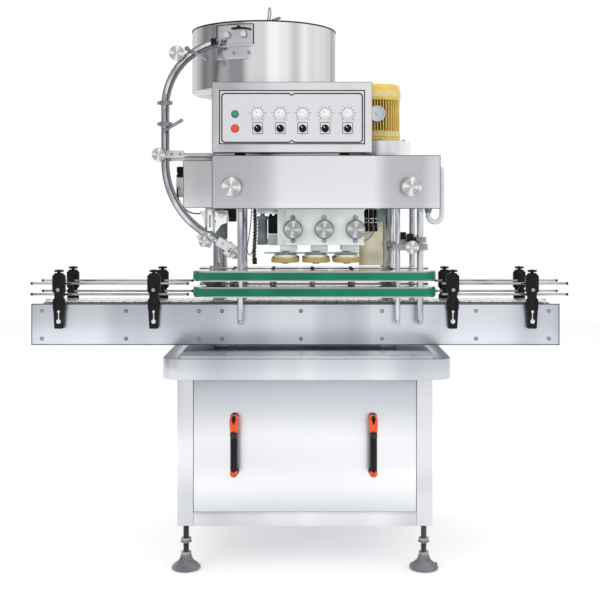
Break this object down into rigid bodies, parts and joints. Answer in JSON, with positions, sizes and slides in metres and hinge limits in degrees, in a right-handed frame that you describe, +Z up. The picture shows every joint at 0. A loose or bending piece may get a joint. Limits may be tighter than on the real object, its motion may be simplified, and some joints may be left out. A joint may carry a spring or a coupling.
{
  "type": "capping machine",
  "caption": "Inline screw-capping machine: cabinet on levelling feet, chain conveyor with guide rails, grip belts, spindle wheels, lifting head, cap hopper and chute.",
  "frame": {"origin": "on the floor under the middle of the bounding box", "axes": "+Z up, +X along the bottle line to the operator's right, -Y towards the operator"},
  "size_m": [1.843, 0.84, 1.929],
  "materials": {
    "steel_sheet": "brushed sheet, satin",
    "turned_steel": "turned or drawn, bright",
    "dark_steel": "plated, worn",
    "pale_paint": "hammered enamel, pale grey-green",
    "black_plastic": "moulded, fine texture",
    "orange_plastic": "moulded, satin",
    "green_belt": "belt cover, matt",
    "pale_chain": "moulded chain plates, satin",
    "tan_rubber": "matt rubber tyre",
    "yellow_paint": "motor enamel, satin",
    "clear_dial": "clear moulded knob",
    "green_button": "gloss",
    "red_button": "gloss",
    "hose": "flexible conduit, satin"
  },
  "bodies": {
    "base": {"cabinet_shell": "steel_sheet", "table_tray": "steel_sheet", "conveyor_frame": "steel_sheet", "conveyor_chain": "pale_chain", "guide_bracket_1": "black_plastic", "guide_bracket_2": "black_plastic", "guide_bracket_3": "black_plastic", "guide_bracket_4": "black_plastic", "lift_columns": "turned_steel"},
    "panel": {"front_panel": "steel_sheet", "panel_handle_left": "black_plastic", "panel_handle_right": "black_plastic"},
    "leveling_foot_front_left_body": {"leveling_foot_front_left": "dark_steel"},
    "leveling_foot_front_right_body": {"leveling_foot_front_right": "dark_steel"},
    "leveling_foot_rear_left_body": {"leveling_foot_rear_left": "dark_steel"},
    "leveling_foot_rear_right_body": {"leveling_foot_rear_right": "dark_steel"},
    "drive_roller": {"drive_sprocket": "dark_steel"},
    "idler_roller": {"idler_sprocket": "dark_steel"},
    "guide_rail_left_front_body": {"guide_rail_left_front": "turned_steel"},
    "guide_rail_left_rear_body": {"guide_rail_left_rear": "turned_steel"},
    "guide_rail_right_front_body": {"guide_rail_right_front": "turned_steel"},
    "guide_rail_right_rear_body": {"guide_rail_right_rear": "turned_steel"},
    "head": {"head_beam": "steel_sheet", "drive_motor": "yellow_paint", "capping_block": "pale_paint", "control_box": "steel_sheet", "hopper_drum": "steel_sheet", "cap_chute": "steel_sheet"},
    "beam_knob_left_body": {"beam_knob_left": "turned_steel"},
    "beam_knob_right_body": {"beam_knob_right": "turned_steel"},
    "gap_knob_1_body": {"gap_knob_1": "turned_steel"},
    "gap_knob_2_body": {"gap_knob_2": "turned_steel"},
    "gap_knob_3_body": {"gap_knob_3": "turned_steel"},
    "wheel_front_1": {"capping_wheel_front_1": "tan_rubber"},
    "wheel_front_2": {"capping_wheel_front_2": "tan_rubber"},
    "wheel_front_3": {"capping_wheel_front_3": "tan_rubber"},
    "wheel_rear_1": {"capping_wheel_rear_1": "tan_rubber"},
    "wheel_rear_2": {"capping_wheel_rear_2": "tan_rubber"},
    "wheel_rear_3": {"capping_wheel_rear_3": "tan_rubber"},
    "front_clamp": {"front_clamp_frame": "steel_sheet", "grip_belt_front_lower": "green_belt", "grip_belt_front_upper": "green_belt"},
    "front_pulley": {"belt_pulley_front": "dark_steel"},
    "rear_clamp": {"rear_clamp_frame": "steel_sheet", "grip_belt_rear_lower": "green_belt", "grip_belt_rear_upper": "green_belt"},
    "rear_pulley": {"belt_pulley_rear": "dark_steel"},
    "start_plunger": {"start_button": "green_button"},
    "stop_plunger": {"stop_button": "red_button"},
    "speed_1": {"speed_dial_1": "clear_dial"},
    "speed_2": {"speed_dial_2": "clear_dial"},
    "speed_3": {"speed_dial_3": "clear_dial"},
    "speed_4": {"speed_dial_4": "clear_dial"},
    "speed_5": {"speed_dial_5": "clear_dial"},
    "switch_1": {"selector_1": "black_plastic"},
    "switch_2": {"selector_2": "black_plastic"},
    "switch_3": {"selector_3": "black_plastic"},
    "switch_4": {"selector_4": "black_plastic"},
    "switch_5": {"selector_5": "black_plastic"},
    "feed_rotor": {"feed_disc": "steel_sheet"}
  },
  "joints": [
    {"name": "panel_lift_off", "type": "slide", "parent": "base", "child": "panel", "axis": [0, -1, 0], "range_m": [0, 0.3]},
    {"name": "leveling_foot_front_left_turn", "type": "hinge", "parent": "base", "child": "leveling_foot_front_left_body", "pos_m": [-0.369, -0.344, 0.06], "axis": [0, 0, 1], "continuous": true},
    {"name": "leveling_foot_front_right_turn", "type": "hinge", "parent": "base", "child": "leveling_foot_front_right_body", "pos_m": [0.407, -0.344, 0.06], "axis": [0, 0, 1], "continuous": true},
    {"name": "leveling_foot_rear_left_turn", "type": "hinge", "parent": "base", "child": "leveling_foot_rear_left_body", "pos_m": [-0.369, 0.344, 0.06], "axis": [0, 0, 1], "continuous": true},
    {"name": "leveling_foot_rear_right_turn", "type": "hinge", "parent": "base", "child": "leveling_foot_rear_right_body", "pos_m": [0.407, 0.344, 0.06], "axis": [0, 0, 1], "continuous": true},
    {"name": "conveyor_drive", "type": "hinge", "parent": "base", "child": "drive_roller", "pos_m": [0.8435, -0.1, 0.816], "axis": [0, 1, 0], "continuous": true},
    {"name": "conveyor_idler", "type": "hinge", "parent": "base", "child": "idler_roller", "pos_m": [-0.8705, -0.1, 0.816], "axis": [0, 1, 0], "continuous": true},
    {"name": "guide_rail_left_front_slide", "type": "slide", "parent": "base", "child": "guide_rail_left_front_body", "axis": [0, -1, 0], "range_m": [-0.03, 0.012]},
    {"name": "guide_rail_left_rear_slide", "type": "slide", "parent": "base", "child": "guide_rail_left_rear_body", "axis": [0, 1, 0], "range_m": [-0.03, 0.012]},
    {"name": "guide_rail_right_front_slide", "type": "slide", "parent": "base", "child": "guide_rail_right_front_body", "axis": [0, -1, 0], "range_m": [-0.03, 0.012]},
    {"name": "guide_rail_right_rear_slide", "type": "slide", "parent": "base", "child": "guide_rail_right_rear_body", "axis": [0, 1, 0], "range_m": [-0.03, 0.012]},
    {"name": "head_lift", "type": "slide", "parent": "base", "child": "head", "axis": [0, 0, 1], "range_m": [0, 0.12]},
    {"name": "beam_knob_left_turn", "type": "hinge", "parent": "head", "child": "beam_knob_left_body", "pos_m": [-0.227, -0.27, 1.24739], "axis": [0, -1, 0], "continuous": true},
    {"name": "beam_knob_right_turn", "type": "hinge", "parent": "head", "child": "beam_knob_right_body", "pos_m": [0.373, -0.27, 1.24739], "axis": [0, -1, 0], "continuous": true},
    {"name": "gap_knob_1_turn", "type": "hinge", "parent": "head", "child": "gap_knob_1_body", "pos_m": [-0.022, -0.215, 1.1047], "axis": [0, -1, 0], "continuous": true},
    {"name": "gap_knob_2_turn", "type": "hinge", "parent": "head", "child": "gap_knob_2_body", "pos_m": [0.084, -0.215, 1.1047], "axis": [0, -1, 0], "continuous": true},
    {"name": "gap_knob_3_turn", "type": "hinge", "parent": "head", "child": "gap_knob_3_body", "pos_m": [0.19, -0.215, 1.1047], "axis": [0, -1, 0], "continuous": true},
    {"name": "wheel_front_1_spin", "type": "hinge", "parent": "head", "child": "wheel_front_1", "pos_m": [-0.049, -0.164, 0.999], "axis": [0, 0, 1], "continuous": true},
    {"name": "wheel_front_2_spin", "type": "hinge", "parent": "head", "child": "wheel_front_2", "pos_m": [0.057, -0.164, 0.999], "axis": [0, 0, 1], "continuous": true},
    {"name": "wheel_front_3_spin", "type": "hinge", "parent": "head", "child": "wheel_front_3", "pos_m": [0.163, -0.164, 0.999], "axis": [0, 0, 1], "continuous": true},
    {"name": "wheel_rear_1_spin", "type": "hinge", "parent": "head", "child": "wheel_rear_1", "pos_m": [-0.049, -0.036, 0.999], "axis": [0, 0, 1], "continuous": true},
    {"name": "wheel_rear_2_spin", "type": "hinge", "parent": "head", "child": "wheel_rear_2", "pos_m": [0.057, -0.036, 0.999], "axis": [0, 0, 1], "continuous": true},
    {"name": "wheel_rear_3_spin", "type": "hinge", "parent": "head", "child": "wheel_rear_3", "pos_m": [0.163, -0.036, 0.999], "axis": [0, 0, 1], "continuous": true},
    {"name": "front_clamp_slide", "type": "slide", "parent": "head", "child": "front_clamp", "axis": [0, -1, 0], "range_m": [-0.01, 0.035]},
    {"name": "front_pulley_spin", "type": "hinge", "parent": "front_clamp", "child": "front_pulley", "pos_m": [-0.296, -0.205, 0.92], "axis": [0, 0, 1], "continuous": true},
    {"name": "rear_clamp_slide", "type": "slide", "parent": "head", "child": "rear_clamp", "axis": [0, 1, 0], "range_m": [-0.01, 0.018]},
    {"name": "rear_pulley_spin", "type": "hinge", "parent": "rear_clamp", "child": "rear_pulley", "pos_m": [-0.296, 0.005, 0.92], "axis": [0, 0, 1], "continuous": true},
    {"name": "start_press", "type": "slide", "parent": "head", "child": "start_plunger", "axis": [0, 1, 0], "range_m": [0, 0.004], "stiffness_N_per_m": 400},
    {"name": "stop_press", "type": "slide", "parent": "head", "child": "stop_plunger", "axis": [0, 1, 0], "range_m": [0, 0.004], "stiffness_N_per_m": 400},
    {"name": "speed_1_turn", "type": "hinge", "parent": "head", "child": "speed_1", "pos_m": [-0.1388, -0.27, 1.4902], "axis": [0, -1, 0], "range_deg": [-135, 135]},
    {"name": "speed_2_turn", "type": "hinge", "parent": "head", "child": "speed_2", "pos_m": [-0.0637, -0.27, 1.4902], "axis": [0, -1, 0], "range_deg": [-135, 135]},
    {"name": "speed_3_turn", "type": "hinge", "parent": "head", "child": "speed_3", "pos_m": [0.0114, -0.27, 1.4902], "axis": [0, -1, 0], "range_deg": [-135, 135]},
    {"name": "speed_4_turn", "type": "hinge", "parent": "head", "child": "speed_4", "pos_m": [0.0865, -0.27, 1.4902], "axis": [0, -1, 0], "range_deg": [-135, 135]},
    {"name": "speed_5_turn", "type": "hinge", "parent": "head", "child": "speed_5", "pos_m": [0.1616, -0.27, 1.4902], "axis": [0, -1, 0], "range_deg": [-135, 135]},
    {"name": "switch_1_turn", "type": "hinge", "parent": "head", "child": "switch_1", "pos_m": [-0.1388, -0.27, 1.442], "axis": [0, -1, 0], "range_deg": [-45, 45]},
    {"name": "switch_2_turn", "type": "hinge", "parent": "head", "child": "switch_2", "pos_m": [-0.0637, -0.27, 1.442], "axis": [0, -1, 0], "range_deg": [-45, 45]},
    {"name": "switch_3_turn", "type": "hinge", "parent": "head", "child": "switch_3", "pos_m": [0.0114, -0.27, 1.442], "axis": [0, -1, 0], "range_deg": [-45, 45]},
    {"name": "switch_4_turn", "type": "hinge", "parent": "head", "child": "switch_4", "pos_m": [0.0865, -0.27, 1.442], "axis": [0, -1, 0], "range_deg": [-45, 45]},
    {"name": "switch_5_turn", "type": "hinge", "parent": "head", "child": "switch_5", "pos_m": [0.1616, -0.27, 1.442], "axis": [0, -1, 0], "range_deg": [-45, 45]},
    {"name": "feed_disc_spin", "type": "hinge", "parent": "head", "child": "feed_rotor", "pos_m": [-0.134, 0.14, 1.606], "axis": [0, 0, 1], "continuous": true}
  ],
  "couplings": [
    {"joint": "conveyor_idler", "follows": "conveyor_drive", "ratio": 1},
    {"joint": "wheel_front_2_spin", "follows": "wheel_front_1_spin", "ratio": 1},
    {"joint": "wheel_front_3_spin", "follows": "wheel_front_1_spin", "ratio": 1},
    {"joint": "wheel_rear_1_spin", "follows": "wheel_front_1_spin", "ratio": -1},
    {"joint": "wheel_rear_2_spin", "follows": "wheel_front_1_spin", "ratio": -1},
    {"joint": "wheel_rear_3_spin", "follows": "wheel_front_1_spin", "ratio": -1},
    {"joint": "rear_pulley_spin", "follows": "front_pulley_spin", "ratio": -1}
  ]
}
